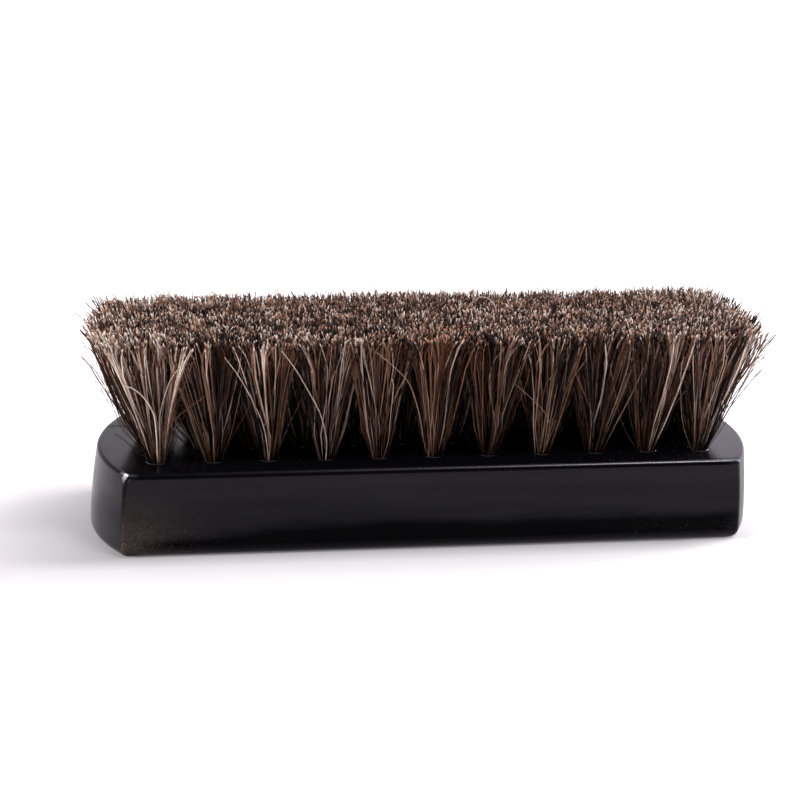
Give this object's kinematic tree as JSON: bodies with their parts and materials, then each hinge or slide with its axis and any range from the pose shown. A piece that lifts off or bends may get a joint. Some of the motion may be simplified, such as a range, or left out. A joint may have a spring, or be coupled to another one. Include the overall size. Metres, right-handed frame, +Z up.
{
  "type": "horsehair brush",
  "caption": "Hand brush for shoes and clothes: lacquered wooden block with bowed ends that carries rows of splayed horsehair tufts, lying on its back.",
  "frame": {"origin": "middle of the block's flat back, the face that the brush lies on with its bristles up", "axes": "+X along the block, +Y across it, +Z up out of the bristle face"},
  "size_m": [0.1666, 0.05, 0.0528],
  "materials": {
    "black_lacquer": "black satin-gloss lacquer on wood",
    "horsehair": "mixed dark brown, black and grey-beige horsehair, cut ends, light natural sheen"
  },
  "bodies": {
    "root": {"block": "black_lacquer", "tuft_front_01": "horsehair", "tuft_front_02": "horsehair", "tuft_front_03": "horsehair", "tuft_front_04": "horsehair", "tuft_front_05": "horsehair", "tuft_front_06": "horsehair", "tuft_front_07": "horsehair", "tuft_front_08": "horsehair", "tuft_front_09": "horsehair", "tuft_front_10": "horsehair", "tuft_front_11": "horsehair", "tuft_mid_front_01": "horsehair", "tuft_mid_front_02": "horsehair", "tuft_mid_front_03": "horsehair", "tuft_mid_front_04": "horsehair", "tuft_mid_front_05": "horsehair", "tuft_mid_front_06": "horsehair", "tuft_mid_front_07": "horsehair", "tuft_mid_front_08": "horsehair", "tuft_mid_front_09": "horsehair", "tuft_mid_front_10": "horsehair", "tuft_mid_front_11": "horsehair", "tuft_mid_front_12": "horsehair", "tuft_mid_back_01": "horsehair", "tuft_mid_back_02": "horsehair", "tuft_mid_back_03": "horsehair", "tuft_mid_back_04": "horsehair", "tuft_mid_back_05": "horsehair", "tuft_mid_back_06": "horsehair", "tuft_mid_back_07": "horsehair", "tuft_mid_back_08": "horsehair", "tuft_mid_back_09": "horsehair", "tuft_mid_back_10": "horsehair", "tuft_mid_back_11": "horsehair", "tuft_mid_back_12": "horsehair", "tuft_back_01": "horsehair", "tuft_back_02": "horsehair", "tuft_back_03": "horsehair", "tuft_back_04": "horsehair", "tuft_back_05": "horsehair", "tuft_back_06": "horsehair", "tuft_back_07": "horsehair", "tuft_back_08": "horsehair", "tuft_back_09": "horsehair", "tuft_back_10": "horsehair", "tuft_back_11": "horsehair"}
  },
  "joints": []
}
